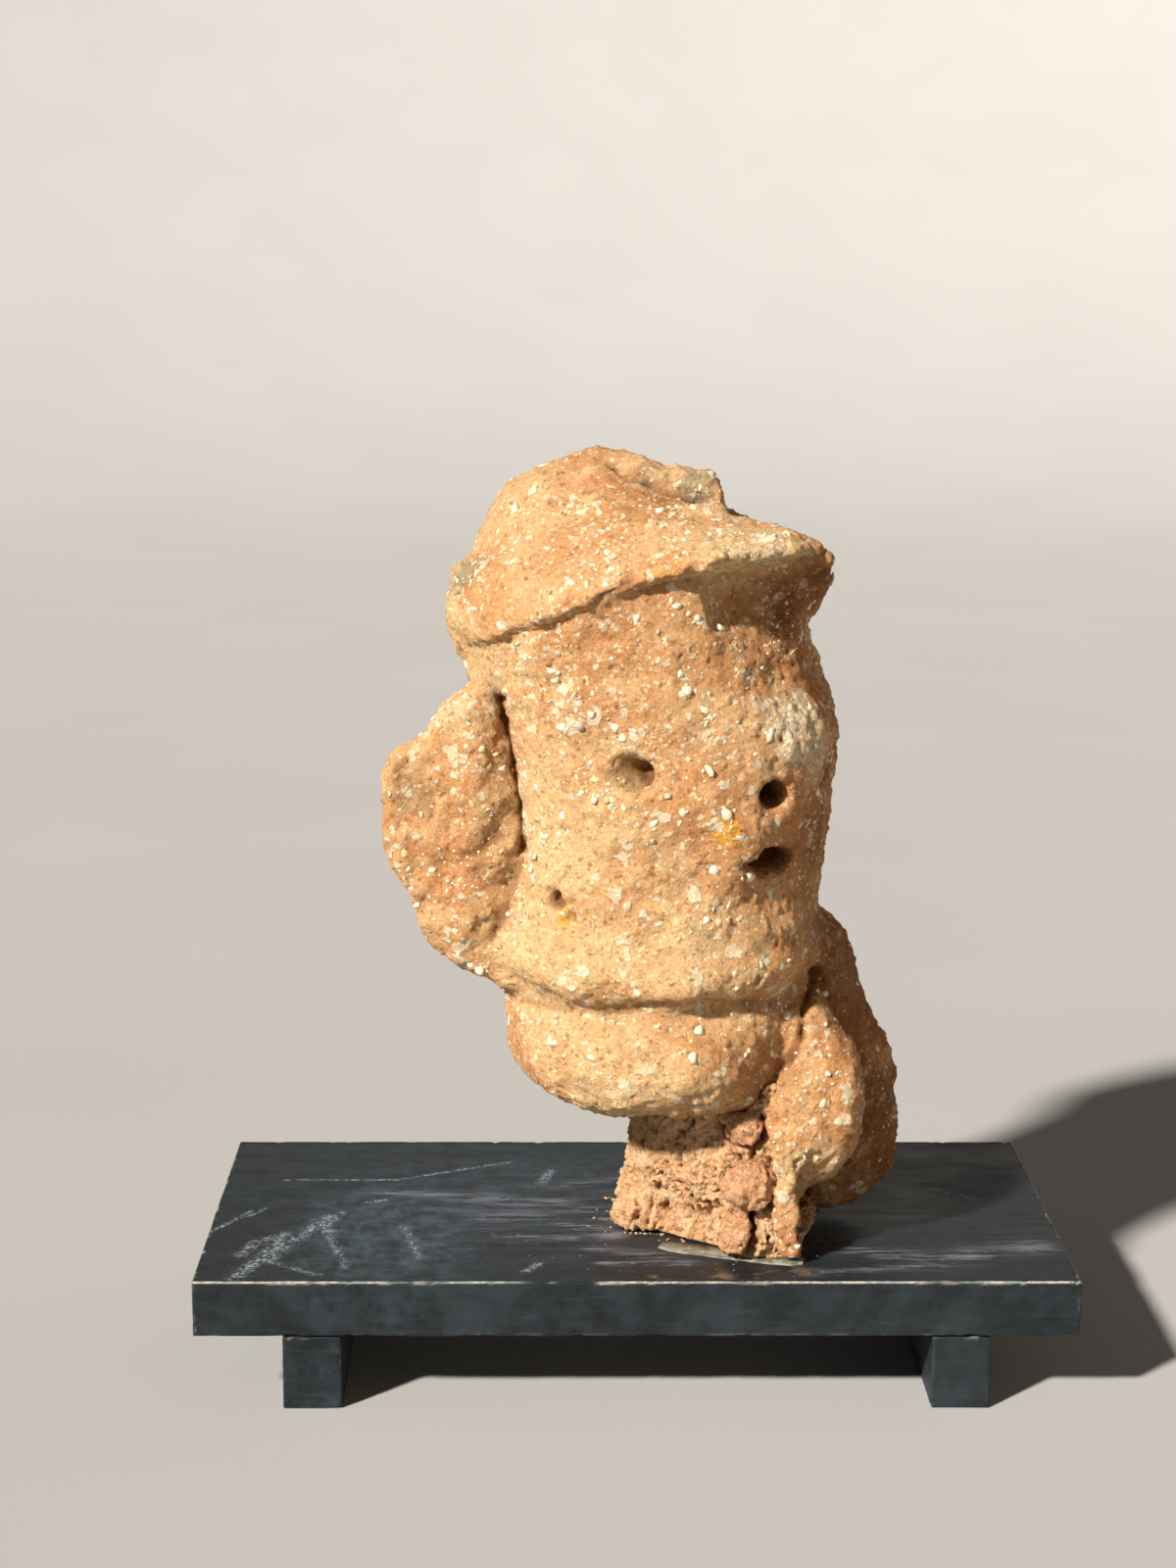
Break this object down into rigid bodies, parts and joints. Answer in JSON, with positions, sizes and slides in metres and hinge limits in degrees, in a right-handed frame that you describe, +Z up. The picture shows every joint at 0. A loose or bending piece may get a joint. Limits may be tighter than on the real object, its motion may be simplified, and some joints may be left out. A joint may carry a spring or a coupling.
{
  "type": "terracotta bust",
  "caption": "Weathered coarse terracotta head with a drooping cap, a side flap and an arm stump, bedded in clay mortar on a low black wooden stand.",
  "frame": {"origin": "middle of the stand's footprint, on the surface that its feet rest on", "axes": "+Z up, +X along the stand to the viewer's right, +Y away from the viewer; the face is turned to the viewer's right, between -Y and +X"},
  "size_m": [0.3, 0.15, 0.3196],
  "materials": {
    "fired_clay": "matt, coarse and gritty, unglazed",
    "clay_mortar": "matt, crumbly and porous",
    "black_painted_wood": "satin black paint, scratched and chipped"
  },
  "bodies": {
    "root": {"terracotta_head": "fired_clay", "clay_mortar_bed": "clay_mortar", "stand_board": "black_painted_wood", "left_foot": "black_painted_wood", "right_foot": "black_painted_wood"}
  },
  "joints": []
}
